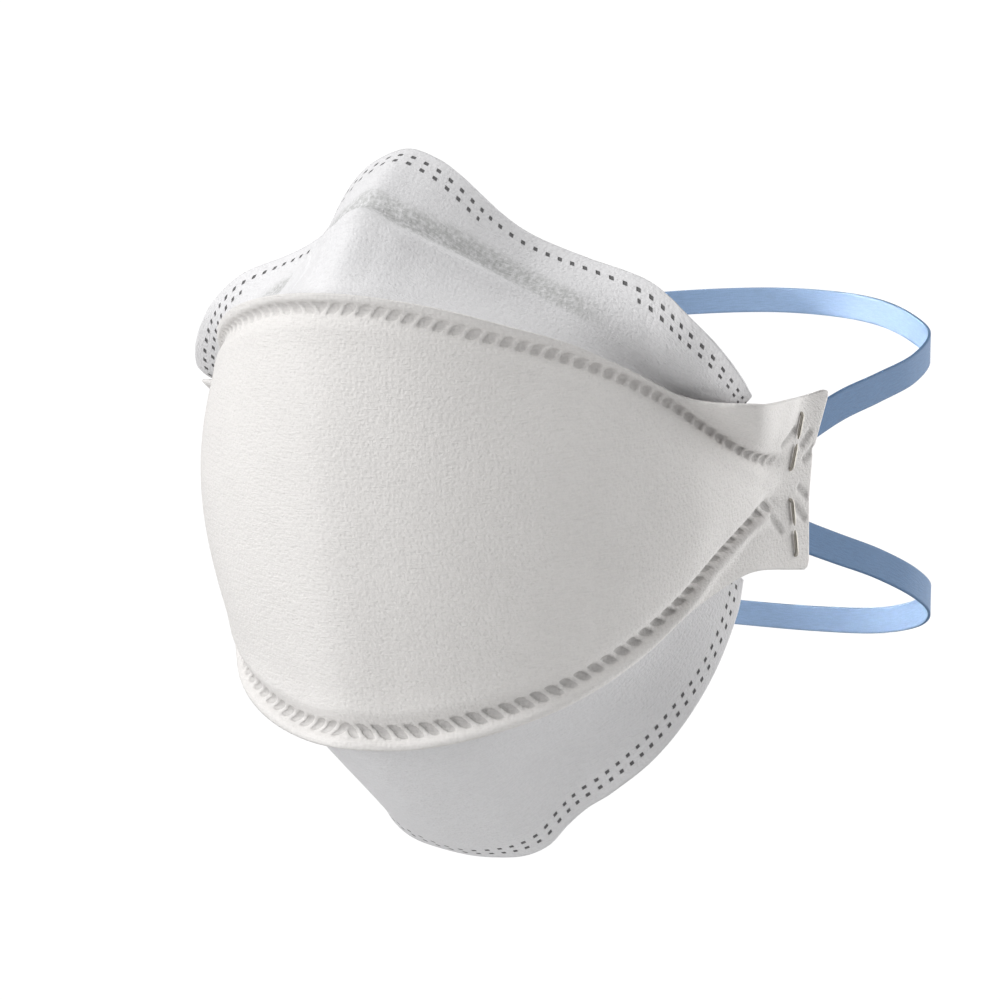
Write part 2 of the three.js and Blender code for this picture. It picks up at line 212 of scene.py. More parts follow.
floor_height = CAD_BOX[0][2] - FLOOR_DEPTH
bpy.ops.mesh.primitive_plane_add(size=FLOOR_SIZE, location=(0, 0, floor_height))
floor = bpy.context.active_object
floor.name = "floor"
floor_finish = bpy.data.materials.new("floor_finish")
floor_finish.use_nodes = True
floor_shader = floor_finish.node_tree.nodes["Principled BSDF"]
floor_shader.inputs["Base Color"].default_value = (*FLOOR_COLOUR, 1)
floor_shader.inputs["Roughness"].default_value = 1.0
floor.data.materials.append(floor_finish)
print("floor at", round(floor_height, 3))

# %% [markdown]
# ## Guide curves
# Cloth that is welded along a line keeps that line's length, so the seams and the free edges are
# what give the mask its shape. Each is a short table of sections for one half: the share of the way
# from the middle to where the seams meet the tab, then x, y and z in millimetres. The other half is
# its mirror image. Between rows the curves are smooth cubics.

# %% Tables of the seams and edges
TAB_END = 1.16

UPPER_SEAM = [
    (0.00, 0.0, -60.0, 36.0),
    (0.11, 11.0, -58.4, 35.4),
    (0.23, 21.5, -53.7, 33.0),
    (0.34, 30.5, -46.5, 30.2),
    (0.46, 38.1, -37.8, 27.0),
    (0.57, 44.2, -28.3, 23.0),
    (0.69, 48.9, -18.6, 18.0),
    (0.80, 52.7, -8.8, 12.3),
    (0.91, 55.6, 1.7, 7.4),
    (1.00, 56.9, 10.2, 5.3),
    (1.08, 58.3, 17.6, 5.3),
    (1.16, 59.7, 24.3, 5.6),
]
UPPER_LIP = [
    (0.00, 0.0, -61.1, 38.6),
    (0.11, 10.8, -59.6, 38.0),
    (0.23, 22.1, -54.6, 35.9),
    (0.34, 30.9, -47.6, 33.0),
    (0.46, 39.0, -38.3, 29.6),
    (0.57, 44.9, -29.0, 25.1),
    (0.69, 49.8, -18.9, 20.2),
    (0.75, 52.6, -15.8, 18.5),
    (0.80, 56.4, -14.2, 17.9),
    (0.86, 60.6, -13.4, 17.8),
    (0.91, 64.0, -9.6, 17.7),
    (1.00, 62.0, 8.5, 17.4),
    (1.08, 59.1, 20.8, 17.1),
    (1.16, 61.0, 29.8, 18.4),
]
LOWER_SEAM = [
    (0.00, 0.0, -52.9, -41.9),
    (0.11, 11.0, -50.3, -41.6),
    (0.22, 21.0, -46.7, -39.4),
    (0.34, 31.0, -40.8, -35.9),
    (0.46, 38.8, -33.1, -31.5),
    (0.58, 44.8, -24.4, -26.0),
    (0.70, 49.2, -15.3, -19.4),
    (0.82, 52.0, -6.1, -12.2),
    (0.94, 54.5, 4.0, -6.1),
    (1.00, 56.1, 9.3, -3.7),
    (1.08, 58.2, 17.4, -3.2),
    (1.16, 59.5, 23.3, -3.2),
]
LOWER_LIP = [
    (0.00, 0.0, -54.6, -45.2),
    (0.11, 11.2, -51.3, -45.0),
    (0.22, 21.8, -47.2, -42.9),
    (0.34, 31.7, -40.5, -39.4),
    (0.46, 39.0, -32.0, -35.3),
    (0.58, 45.2, -23.2, -29.5),
    (0.70, 50.2, -13.8, -22.2),
    (0.76, 52.2, -8.0, -19.7),
    (0.82, 53.5, -2.0, -17.8),
    (0.94, 55.2, 4.0, -16.2),
    (1.00, 56.5, 9.0, -16.0),
    (1.08, 58.3, 17.3, -16.9),
    (1.16, 59.6, 23.6, -17.6),
]
TOP_EDGE = [
    (0.00, 0.0, -32.2, 62.8),
    (0.08, 6.9, -32.4, 60.8),
    (0.14, 11.6, -32.1, 57.8),
    (0.20, 15.4, -31.1, 54.4),
    (0.27, 18.8, -29.4, 51.1),
    (0.33, 22.2, -27.3, 48.2),
    (0.39, 26.0, -25.3, 45.9),
    (0.52, 35.1, -22.6, 42.0),
    (0.64, 45.0, -21.2, 38.6),
    (0.70, 49.5, -20.8, 35.8),
    (0.77, 53.4, -20.3, 32.3),
    (0.83, 56.9, -18.6, 28.4),
    (0.89, 59.8, -16.4, 24.0),
    (0.95, 61.3, -13.9, 20.4),
    (1.00, 61.4, -11.4, 18.4),
]
BOTTOM_EDGE = [
    (0.00, 0.0, -9.6, -75.0),
    (0.08, 7.7, -10.1, -74.2),
    (0.15, 13.7, -10.5, -72.7),
    (0.21, 18.5, -10.1, -70.0),
    (0.27, 22.3, -9.4, -65.7),
    (0.34, 26.3, -8.4, -61.9),
    (0.40, 30.7, -7.4, -58.8),
    (0.53, 39.2, -6.3, -51.3),
    (0.66, 45.4, -3.4, -43.0),
    (0.79, 49.4, 0.9, -34.0),
    (0.92, 51.9, 5.0, -23.6),
    (1.00, 52.1, 7.2, -17.6),
]


# %% Read the tables as smooth curves
def read_table(rows, shares):
    """Every column after the first, by cubic pieces through the rows, for an array of shares."""
    rows = np.array(rows, float)
    mirrored = rows[1].copy()
    mirrored[0] *= -1
    if rows[0, 1] == 0:
        mirrored[1] *= -1
    rows = np.vstack([mirrored, rows])
    last = len(rows) - 1
    before = np.maximum(np.arange(last + 1) - 1, 0)
    after = np.minimum(np.arange(last + 1) + 1, last)
    slope = (rows[after, 1:] - rows[before, 1:]) / (rows[after, :1] - rows[before, :1])
    at = np.abs(np.asarray(shares, float))
    row = np.clip(np.searchsorted(rows[:, 0], at, side="right") - 1, 0, last - 1)
    width = (rows[row + 1, 0] - rows[row, 0])[..., None]
    u = (at - rows[row, 0])[..., None] / width
    rise = rows[row + 1, 1:] - rows[row, 1:]
    m0 = slope[row] * width
    m1 = slope[row + 1] * width
    return rows[row, 1:] + u * (m0 + u * (3 * rise - 2 * m0 - m1 + u * (m0 + m1 - 2 * rise)))


def guide(rows, shares):
    """Points of a seam or edge, in millimetres, over both halves."""
    points = read_table(rows, shares)
    points[..., 0] *= np.where(np.asarray(shares) < 0, -1, 1)
    return points


def unit(vectors):
    return vectors / np.linalg.norm(vectors, axis=-1, keepdims=True)


def blend(a, b, u):
    return a + (b - a) * u


def swell(third, two_thirds, u):
    """Cubic through 0, third, two_thirds and 0 at u = 0, 1/3, 2/3 and 1."""
    return 4.5 * u * (1 - u) * (third * (2 - 3 * u) + two_thirds * (3 * u - 1))


def smooth_step(low, high, x):
    u = np.clip((x - low) / (high - low), 0, 1)
    return u * u * (3 - 2 * u)


def hump(x, width):
    """1 at x = 0, falling to 0 over a few widths."""
    return np.exp(-(x / width) ** 2)


tab_width = np.linalg.norm(guide(UPPER_LIP, [TAB_END]) - guide(LOWER_LIP, [TAB_END]))
print("side tab is", round(float(tab_width), 1), "mm tall at its end")

# %% [markdown]
# ## Sheets of cloth
# A sheet starts as a flat grid, as cloth starts flat. Every vertex is then moved onto the curved
# surface between the guides, the weld marks are pressed into it, and a Solidify modifier gives the
# wall its thickness. Welds and heat set this shape, not how the cloth hangs, so the vertices are
# placed by formulas. The wall thins towards welded edges.


# %% Make a sheet from a grid of points
WALL = 1.2
GAP = 0.3
THINNED = 0.6  # part of the thickness that a welded edge loses


def flat_grid(name, columns, rows):
    """A flat grid; returns its object and the x and y of its vertices, from -1 to 1."""
    bpy.ops.object.select_all(action="DESELECT")
    bpy.ops.mesh.primitive_grid_add(x_subdivisions=columns, y_subdivisions=rows, size=2)
    sheet = bpy.context.active_object
    sheet.name = sheet.data.name = name
    places = np.empty(3 * len(sheet.data.vertices))
    sheet.data.vertices.foreach_get("co", places)
    places = places.reshape(rows + 1, columns + 1, 3)
    return sheet, places[..., 0], places[..., 1]


def face_direction(points):
    """Unit normals of a grid of points, on the side that its faces point to."""
    along = np.gradient(points, axis=1)
    across = np.gradient(points, axis=0)
    return unit(np.cross(along, across))


def arc_lengths(points, axis):
    """Length along the rows or columns of a grid, measured from the middle one."""
    steps = np.linalg.norm(np.diff(points, axis=axis), axis=-1)
    lengths = np.insert(np.cumsum(steps, axis=axis), 0, 0, axis=axis)
    middle = lengths.shape[axis] // 2
    return lengths - np.take(lengths, [middle], axis=axis)


def area_of(points):
    """Area of a grid of points in square millimetres."""
    cell = points[1:, 1:] - points[:-1, :-1], points[1:, :-1] - points[:-1, 1:]
    return float(np.linalg.norm(np.cross(*cell), axis=-1).sum() / 2)


def fill_map(mesh, name, across, up):
    """Stores two values of each vertex as a UV map."""
    corner = np.empty(len(mesh.loops), int)
    mesh.loops.foreach_get("vertex_index", corner)
    values = np.stack([across, up], -1).reshape(-1, 2)
    mesh.uv_layers[name].data.foreach_set("uv", values[corner].ravel())


def finish_sheet(sheet, points, relief=0.0, marks=None, thin=0.0, thickness=WALL, side=-1):
    """Moves the grid onto the points, adds the relief, and makes the wall by Solidify.

    marks are named values for the finish to read; thin is 1 where the wall is thinnest; side is
    -1 to put the thickness behind the points and 0 to put it on both sides. A sheet with two
    materials has the second on its back."""
    mesh = sheet.data
    raised = points + face_direction(points) * np.broadcast_to(relief, points.shape[:-1])[..., None]
    mesh.vertices.foreach_set("co", (raised * MM).ravel())
    mesh.uv_layers[0].name = "cloth"
    fill_map(mesh, "cloth", arc_lengths(points, 1), arc_lengths(points, 0))
    for name, values in (marks or {}).items():
        mark = mesh.attributes.new(name, "FLOAT", "POINT")
        mark.data.foreach_set("value", values.ravel())
    share = np.broadcast_to(1 - THINNED * np.asarray(thin), points.shape[:-1]).ravel().round(1)
    wall = sheet.vertex_groups.new(name="wall")
    for level in np.unique(share):
        wall.add(np.flatnonzero(share == level).tolist(), float(level), "REPLACE")
    solidify = sheet.modifiers.new("wall", "SOLIDIFY")
    solidify.thickness = thickness * MM
    solidify.offset = side
    solidify.vertex_group = "wall"
    solidify.material_offset = 1
    bpy.ops.object.select_all(action="DESELECT")
    sheet.select_set(True)
    bpy.context.view_layer.objects.active = sheet
    bpy.ops.object.modifier_apply(modifier="wall")
    bpy.ops.object.shade_smooth()
    sheet.vertex_groups.clear()
    print(sheet.name, len(mesh.polygons), "faces,", round(area_of(points) / 100, 1), "cm2 of cloth")


# %% [markdown]
# ## Cloth finish
# The panels are nonwoven cloth: fine fibres laid at random and bonded by rows of tiny hot pins, which
# leaves soft dimples a bit over a millimetre apart. The dimples and fibres are bump, because they
# are far finer than the mesh, and the dimples are a touch darker as painted shade. Where a weld has
# pressed the layers together the cloth turns denser and a little darker, and the stored value that the
# finish reads darkens those marks and slots further, as painted shade in them.


# %% Cloth material
def new_finish(name):
    """An empty material; returns it, its shader node and a Shade to start from."""
    finish = bpy.data.materials.new(name)
    finish.use_nodes = True
    shader = finish.node_tree.nodes["Principled BSDF"]
    return finish, shader, Shade(finish.node_tree, shader.outputs[0])


def set_sockets(shader, **values):
    """Puts constants and links on the shader's sockets."""
    for name, value in values.items():
        socket = shader.inputs[name.replace("_", " ")]
        if isinstance(value, Shade):
            value.tree.links.new(value.socket, socket)
        else:
            socket.default_value = value


DIMPLE_PITCH = 1.1
FIBRE_LENGTH = 2.6
FIBRE_WIDTH = 0.28
FIBRE_ANGLES = (0.6, -0.7, 1.7)
GRAIN_DEPTH = 0.10
WELD_DEPTH = 0.45
CLOTH_ROUGHNESS = 0.92
CLOTH_SPECULAR = 0.25
DARKEST = 0.18  # brightness of the deepest shadow, as a share of the cloth's own colour


def fibre_field(start, uv, angle, length, width):
    """Noise drawn out along one direction of the cloth."""
    turned = start.out("ShaderNodeMapping", _0=uv, Rotation=(0, 0, angle),
                       Scale=(1 / length, 1 / width, 1))
    return start.out("ShaderNodeTexNoise", {"noise_dimensions": "2D"}, Vector=turned,
                     Scale=1.0, Detail=2.0, Roughness=0.55)


def cloth_finish(name, colour, dimple_depth, fibre_depth, welds=None, tint=None):
    """Nonwoven cloth. welds(start) gives a mask of small square weld pits; tint(start, fibres) a mask
    and the colour that shows there."""
    finish, shader, start = new_finish(name)
    uv = start.out("ShaderNodeUVMap", {"uv_map": "cloth"})
    pressed_and_shaded = start.out("ShaderNodeAttribute", {"attribute_name": "pressed_and_shaded"}, output=2)
    cells = start.out("ShaderNodeTexVoronoi", {"voronoi_dimensions": "2D", "feature": "F1"},
                      Vector=uv, Scale=1 / DIMPLE_PITCH, Randomness=0.8)
    pit = 1 - cells.ramp(0.0, 0.5)
    lumps = start.out("ShaderNodeTexNoise", {"noise_dimensions": "2D"}, Vector=uv,
                      Scale=0.85, Detail=2.0, Roughness=0.5)
    layers = [fibre_field(start, uv, angle, FIBRE_LENGTH, FIBRE_WIDTH) for angle in FIBRE_ANGLES]
    fibres = (layers[0] + layers[1] + layers[2]) / len(layers)
    clouds = start.out("ShaderNodeTexNoise", {"noise_dimensions": "2D"}, Vector=uv,
                       Scale=0.09, Detail=2.0)
    grain = start.out("ShaderNodeTexNoise", {"noise_dimensions": "2D"}, Vector=uv,
                      Scale=2.4, Detail=3.0, Roughness=0.6)
    height = fibres * fibre_depth + (lumps * 0.4 - pit * 0.4) * dimple_depth + grain * GRAIN_DEPTH
    # Fibres, lumps, grain and clouds vary the tone at random; the dimple pits and the pressed marks add
    # painted shade.
    tone_and_painted_shade = (pit * 0.02 + pressed_and_shaded * 0.30 + (0.5 - fibres) * 0.26 + (0.5 - lumps) * 0.06
              + (0.5 - grain) * 0.16 + (0.5 - clouds) * 0.06 + 0.03)
    # The weld mask darkens the cloth: the edge welds as dark joints, the seam marks partly as painted
    # shade.
    if welds:
        pits = welds(start)
        tone_and_painted_shade = tone_and_painted_shade + pits
        height = height - pits * WELD_DEPTH
    dark = tuple(DARKEST * c for c in colour)
    base = tone_and_painted_shade.math("MAXIMUM", tone_and_painted_shade, 0.0).tint(colour, dark)
    if tint:
        mask, stain = tint(start, fibres)
        base = start.out("ShaderNodeMix", {"data_type": "RGBA"}, output=2,
                         _0=mask, _6=base, _7=(*stain, 1))
    bump = start.out("ShaderNodeBump", Height=height, Strength=1.0, Distance=MM)
    set_sockets(shader, Base_Color=base, Normal=bump, Roughness=CLOTH_ROUGHNESS)
    shader.inputs["Specular IOR Level"].default_value = CLOTH_SPECULAR
    return finish


# %% [markdown]
# ## The centre panel
# The largest panel bulges between its two seams. Past each seam the layers go on as a free lip, which
# widens at the sides into the tab with its two horns. The seams are rows of slanted weld marks, three
# millimetres apart, that lean outwards from the middle; the cloth puffs up between them.

# %% Shape of the centre panel
FRONT_SWELL = [
    (0.00, 3.2, 3.4, 0.0),
    (0.23, 3.7, 4.1, 0.0),
    (0.46, 4.8, 5.2, 0.0),
    (0.69, 5.4, 4.9, 0.0),
    (0.80, 4.2, 3.6, 0.3),
    (0.91, 2.4, 2.0, 1.4),
    (1.00, 0.3, 0.3, 0.1),
    (1.16, 0.0, 0.0, 0.0),
]
CENTRE_COLUMNS = 660
CENTRE_ROWS = 72

# Rows of the grid are packed close together where the weld marks are: grid y, then the part of the
# way up in the middle and at the tab. It is 0 at the lower seam, 1 at the upper seam, and -1 and 2 at
# the free edges of the lips.
ROW_PLACES = [
    (-1.00, -1.00, -1.00),
    (-0.70, 0.00, -0.62),
    (-0.42, 0.06, -0.26),
    (-0.22, 0.24, 0.00),
    (0.28, 0.72, 1.00),
    (0.46, 0.95, 1.25),
    (0.72, 1.00, 1.61),
    (1.00, 2.00, 2.00),
]

# Rounding of the tab's corners: how far along the tab, as a share, and how far up it begins.
CORNER_SHARE = 0.022
CORNER_UP = 0.16

MARK_PITCH = 3.0
UPPER_MARKS = 35.0
LOWER_MARKS = 33.3
LOWER_MARK_START = 0.67
LAST_MARK = 34.5

# The marks of each seam: their slant, half their length and width in millimetres, and how dark they are
# drawn, as denser cloth and painted shade in the marks.
SEAM_MARKS = [
    ("upper_marks", 0.95, 1.20, 1.12, 0.12),
    ("lower_marks", 1.05, 1.45, 1.05, 0.24),
]


def outward_of_seams(shares, step=0.01):
    """Direction in which the centre panel faces at each share."""
    rise = guide(UPPER_SEAM, shares) - guide(LOWER_SEAM, shares)
    ahead = sum(guide(rows, shares + step) - guide(rows, shares - step)
                for rows in (UPPER_SEAM, LOWER_SEAM))
    return unit(np.cross(ahead, rise))


def centre_points(shares, up):
    """Points of the centre panel; up is the part of the way up, from -1 to 2."""
    upper, lower = guide(UPPER_SEAM, shares), guide(LOWER_SEAM, shares)
    bulge = read_table(FRONT_SWELL, shares)
    u = np.clip(up, 0, 1)
    stand = swell(bulge[..., 0], bulge[..., 1], u)
    points = blend(lower, upper, u[..., None]) + outward_of_seams(shares) * stand[..., None]
    over = np.clip(up - 1, 0, 1)[..., None]
    under = np.clip(-up, 0, 1)[..., None]
    points += over * (guide(UPPER_LIP, shares) - upper)
    points += 4 * over * (1 - over) * bulge[..., 2:] * outward_of_seams(shares)
    points += under * (guide(LOWER_LIP, shares) - lower)
    return points


def past_seam(shares, up, seam, lip, other, side):
    """Distance from a seam across the cloth in millimetres, positive on the lip."""
    lip_length = np.linalg.norm(guide(lip, shares) - guide(seam, shares), axis=-1)
    panel_length = np.linalg.norm(guide(other, shares) - guide(seam, shares), axis=-1)
    past = side * (up - (1 if side > 0 else 0))
    return np.where(past > 0, past * lip_length, past * panel_length)


def weld_row(marks, past, lean, half_length, half_width):
    """Slanted, rounded weld marks: 1 in a mark and 0 outside. marks counts them along the seam, and
    lean is the slant, in millimetres along the seam for each across it."""
    leaned = marks - lean * past / MARK_PITCH
    off = np.abs(leaned - np.round(leaned)) * MARK_PITCH
    away = ((off / half_width) ** 3 + np.abs(past / half_length) ** 3) ** (1 / 3)
    return 1 - smooth_step(0.72, 1.12, away)


centre_sheet, flat_x, flat_y = flat_grid("centre_panel", CENTRE_COLUMNS, CENTRE_ROWS)
shares = flat_x * TAB_END
row_y, row_middle, row_tab = np.array(ROW_PLACES).T
up = blend(np.interp(flat_y, row_y, row_middle), np.interp(flat_y, row_y, row_tab),
           smooth_step(0.80, 1.02, np.abs(shares)))
to_corner = np.clip(np.maximum(up - 2 + CORNER_UP, -1 + CORNER_UP - up) / CORNER_UP, 0, 1)
shorter = (CORNER_SHARE * (1 - np.sqrt(1 - to_corner ** 2))
           * smooth_step(1.08, TAB_END, np.abs(shares)))
centre = centre_points(shares - np.sign(shares) * shorter, up)

# %% Weld marks of the centre panel
above = past_seam(shares, up, UPPER_SEAM, UPPER_LIP, LOWER_SEAM, 1)
below = past_seam(shares, up, LOWER_SEAM, LOWER_LIP, UPPER_SEAM, -1)
upper_count = UPPER_MARKS * np.abs(shares)
lower_count = LOWER_MARK_START + LOWER_MARKS * np.abs(shares)
on_seam = 1 - smooth_step(0.98, 1.05, np.abs(shares))
upper_marks = on_seam * weld_row(upper_count, above, *SEAM_MARKS[0][1:4])
lower_marks = on_seam * weld_row(lower_count, below, *SEAM_MARKS[1][1:4])

# Slots pressed into each tab: the two ends of their middle lines on the +X tab, y and z.
TAB_SLOTS = [
    ((12.8, 8.1), (17.6, 10.7)),
    ((20.7, 7.5), (23.2, 9.7)),
    ((21.4, 4.5), (24.3, 6.6)),
    ((19.9, -1.0), (22.2, -2.6)),
    ((18.5, -4.2), (21.7, -7.1)),
    ((11.1, -6.0), (14.2, -8.9)),
]
SLOT_HALF_WIDTH = 0.75

# Depths in millimetres: of the grooves along the seams, of the marks of each seam and of the slots.
GROOVE_DEPTH = 0.30
UPPER_MARK_DEPTH = 0.35
LOWER_MARK_DEPTH = 0.50
SLOT_DEPTH = 0.45


def slot_marks(points, slots, half_width):
    """1 in a rounded slot pressed into the tabs and 0 outside."""
    marks = np.zeros(points.shape[:-1])
    flat = points[..., 1:]
    for start, end in (np.array(slot) for slot in slots):
        line = end - start
        u = np.clip(((flat - start) @ line) / (line @ line), 0, 1)
        away = np.linalg.norm(flat - start - u[..., None] * line, axis=-1)
        marks = np.maximum(marks, 1 - smooth_step(half_width - 0.5, half_width + 0.4, away))
    return marks * (np.abs(points[..., 0]) > 50)


slots = slot_marks(centre, TAB_SLOTS, SLOT_HALF_WIDTH)
for name, count, past in (("upper_marks", upper_count, above), ("lower_marks", lower_count, below)):
    centre_sheet.data.uv_layers.new(name=name)
    fill_map(centre_sheet.data, name, count, past)
near_seam = on_seam * (hump(above, 1.5) + hump(below, 1.9))
near_tab = smooth_step(30, 32, upper_count)
puff = on_seam * (0.35 * hump(above + 3.4, 1.6) + 0.45 * hump(below + 3.9, 1.8)
                  + 0.9 * hump(below - 2.6, 1.2) + 0.3 * hump(above - 1.8, 0.8))
relief = (puff - GROOVE_DEPTH * near_seam - UPPER_MARK_DEPTH * upper_marks
          - LOWER_MARK_DEPTH * lower_marks - SLOT_DEPTH * slots)
# Darkening of the marks near the tab, the slots and the seam grooves: denser cloth and painted shade in
# these dents.
pressed_and_shaded = np.clip(0.6 * near_tab * upper_marks + 0.9 * slots + 0.05 * near_seam, 0, 1)
edge = np.maximum(smooth_step(1.4, 2.0, up), smooth_step(-0.5, -1.0, up))
edge = np.maximum(edge, smooth_step(TAB_END - 0.02, TAB_END, np.abs(shares)))
finish_sheet(centre_sheet, centre, relief, {"pressed_and_shaded": pressed_and_shaded}, edge)


def seam_marks(start):
    """Mask of the slanted marks of both seams, the same as weld_row makes in the shape, each row weighted
    by how dark it is drawn as denser cloth and painted shade.
    """
    total = 0.0
    for name, lean, half_length, half_width, depth in SEAM_MARKS:
        where = start.out("ShaderNodeSeparateXYZ", _0=start.out("ShaderNodeUVMap", {"uv_map": name}))
        past = Shade(start.tree, where.socket.node.outputs[1])
        leaned = where - past * (lean / MARK_PITCH) + 0.5
        off = (leaned.math("FRACT", leaned) - 0.5) * (MARK_PITCH / half_width)
        away = (off.math("POWER", off.math("ABSOLUTE", off), 3.0)
                + off.math("POWER", off.math("ABSOLUTE", past / half_length), 3.0))
        mark = (1 - away.ramp(0.55, 1.05)) * where.math("LESS_THAN", where, LAST_MARK)
        total = mark * depth + total
    return total


CENTRE_COLOUR = (0.785, 0.766, 0.750)
centre_sheet.data.materials.append(cloth_finish(
    "centre_cloth", CENTRE_COLOUR, 0.13, 0.14, welds=seam_marks))
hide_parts("front_panel")
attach(centre_sheet, "root")

# %% [markdown]
# ## The nose and chin panels
# Both panels start just behind a seam of the centre panel and end in a free edge that seals on the
# face. Small square welds run along that edge. The nose panel is pinched over the bridge of the
# nose, hollow beside it and full over the cheeks.

# %% Surfaces of the nose and chin panels
EDGE_MARGIN = 2.7
PANEL_FALL = 0.16
TOP_SWELL = [
    (0.00, 2.7, 3.2),
    (0.06, 0.8, 1.4),
    (0.14, -1.6, -0.8),
    (0.26, -2.2, -1.8),
    (0.40, -1.2, -1.2),
    (0.55, 0.2, 0.8),
    (0.70, 0.1, 1.4),
    (0.86, -1.5, -0.5),
    (1.00, -1.5, -0.7),
]
BOTTOM_SWELL = [
    (0.00, 2.2, 2.4),
    (0.15, 0.4, 0.2),
    (0.30, -1.6, -2.4),
    (0.45, -2.2, -2.8),
    (0.60, -1.8, -2.0),
    (0.80, -0.4, -0.2),
    (1.00, 0.0, 0.0),
]
# The cloth beyond the outer welds: how far it turns back from the panel's slope, and its width.
EDGE_FLANGE = [
    (0.00, 0.0, 2.7),
    (0.50, 0.0, 2.7),
    (0.75, 0.1, 1.9),
    (1.00, 0.2, 1.5),
]


def panel_points(shares, u, seam, edge, bulge_rows, side):
    """Points of a panel, from just behind a seam at u = 0 to its free edge at u = 1."""
    def ends(at):
        seam_at = at - np.sign(at) * PANEL_FALL * np.maximum(0, 2 * np.abs(at) - 1) ** 2
        start = guide(seam, seam_at) - (WALL + GAP) * outward_of_seams(seam_at)
        end = guide(edge, at)
        flange = read_table(EDGE_FLANGE, at)
        slope = unit(blend(unit(end - start), np.array([0.0, 1.0, 0.0]), flange[..., :1]))
        return start, end + flange[..., 1:] * slope

    start, end = ends(shares)
    ahead = sum(ends(shares + 0.01)) - sum(ends(shares - 0.01))
    facing = side * unit(np.cross(ahead, end - start))
    bulge = read_table(bulge_rows, shares)
    stand = swell(bulge[..., 0], bulge[..., 1], u)
    return blend(start, end, u[..., None]) + facing * stand[..., None], np.linalg.norm(end - start, axis=-1)


DOT_SIZE = (0.42, 0.36)
DOT_SOFT = 0.12
DOT_PITCH = 2.7
ROW_SPACING = 2.1


def edge_welds(rows):
    """Mask of small square welds. rows lists distance from the edge, first and last weld."""
    def mask(start):
        where = start.out("ShaderNodeSeparateXYZ", _0=start.out("ShaderNodeUVMap", {"uv_map": "welds"}))
        inside = Shade(start.tree, where.socket.node.outputs[1])
        off = (where.math("FRACT", where) - 0.5).math("ABSOLUTE", where.math("FRACT", where) - 0.5)
        along = 1 - (off * DOT_PITCH).ramp(DOT_SIZE[0] - DOT_SOFT, DOT_SIZE[0] + DOT_SOFT)
        total = None
        for distance, first, last in rows:
            far = inside.math("ABSOLUTE", inside - distance)
            across = 1 - far.ramp(DOT_SIZE[1] - DOT_SOFT, DOT_SIZE[1] + DOT_SOFT)
            span = where.math("GREATER_THAN", where, first) * where.math("LESS_THAN", where, last)
            dots = along * across * span
            total = dots if total is None else total.math("MAXIMUM", total, dots)
        return total
    return mask


# %% Nose panel
PANEL_COLUMNS = 520
PANEL_ROWS = 64
TOP_WELDS = 32.0

nose_sheet, flat_x, flat_y = flat_grid("nose_panel", PANEL_COLUMNS, PANEL_ROWS)
shares = flat_x
u = (flat_y + 1) / 2
nose, nose_height = panel_points(shares, u, UPPER_SEAM, TOP_EDGE, TOP_SWELL, 1)

# The nose clip shows through as a raised band: share, part of the way up of its lower edge.
CLIP_COURSE = [
    (0.00, 0.53),
    (0.07, 0.51),
    (0.12, 0.53),
    (0.18, 0.56),
    (0.25, 0.58),
    (0.31, 0.575),
    (0.37, 0.55),
    (0.43, 0.49),
    (0.53, 0.38),
]
CLIP_WIDTH = 5.0
clip_from = read_table(CLIP_COURSE, np.minimum(np.abs(shares), 0.56))[..., 0]
over_clip = (u - clip_from) * nose_height
clip_length = 1 - smooth_step(0.46, 0.58, np.abs(shares))
crest_length = 1 - smooth_step(0.28, 0.44, np.abs(shares))
# Mask for the finish: the clip seen through the cloth, with painted shade of the strip and of the crease
# along it.
clip_seen_and_shaded_mark = clip_length * smooth_step(-0.9, 0.9, over_clip) * (
    1 - smooth_step(CLIP_WIDTH - 1.5, CLIP_WIDTH + 1.5, over_clip))
crest = crest_length * (1.1 * hump(over_clip + 1.6, 2.2) - 0.9 * hump(over_clip - 1.6, 1.8))

# Creases of the cloth beside the nose: share, part of the way up at both ends, depth.
CREASES = [
    (-0.172, 0.14, 0.66, 0.50),
    (-0.072, 0.08, 0.36, 0.30),
]
creases = sum(depth * hump((shares - at) / 0.006, 1.0) * smooth_step(low - 0.08, low + 0.08, u)
              * (1 - smooth_step(high - 0.08, high + 0.08, u)) for at, low, high, depth in CREASES)
in_from_edge = (1 - u) * nose_height
edge = 1 - smooth_step(0.3, 3.0, in_from_edge)
nose_sheet.data.uv_layers.new(name="welds")
fill_map(nose_sheet.data, "welds", 0.5 + TOP_WELDS * np.abs(shares), in_from_edge)
nose_marks = {"pressed_and_shaded": np.zeros(shares.shape), "clip": clip_seen_and_shaded_mark}
finish_sheet(nose_sheet, nose, crest - creases, nose_marks, edge)

# %% Nose panel finish
OUTER_COLOUR = (0.775, 0.77, 0.78)
# Colour of the clip seen through the cloth, darkened as painted shade of the strip and its crease.
CLIP_SEEN_AND_SHADED = (0.27, 0.28, 0.26)
TOP_WELD_ROWS = [
    (EDGE_MARGIN, 0.5, 32.9),
    (EDGE_MARGIN + ROW_SPACING, 0.5, 7.6),
    (EDGE_MARGIN + ROW_SPACING, 20.4, 32.9),
]


def clip_seen_and_shaded(start, fibres):
    """Where the clip shows through the cloth, with painted shade of the strip and of the crease along it,
    broken up by the fibres over it.
    """
    under = start.out("ShaderNodeAttribute", {"attribute_name": "clip"}, output=2)
    uv = start.out("ShaderNodeUVMap", {"uv_map": "cloth"})
    mottle = start.out("ShaderNodeTexNoise", {"noise_dimensions": "2D"}, Vector=uv, Scale=1.1,
                       Detail=4.0, Roughness=0.6)
    cover = (fibres * 0.4 + mottle * 0.6).ramp(0.40, 0.64)
    return under * (0.50 - 0.42 * cover), CLIP_SEEN_AND_SHADED


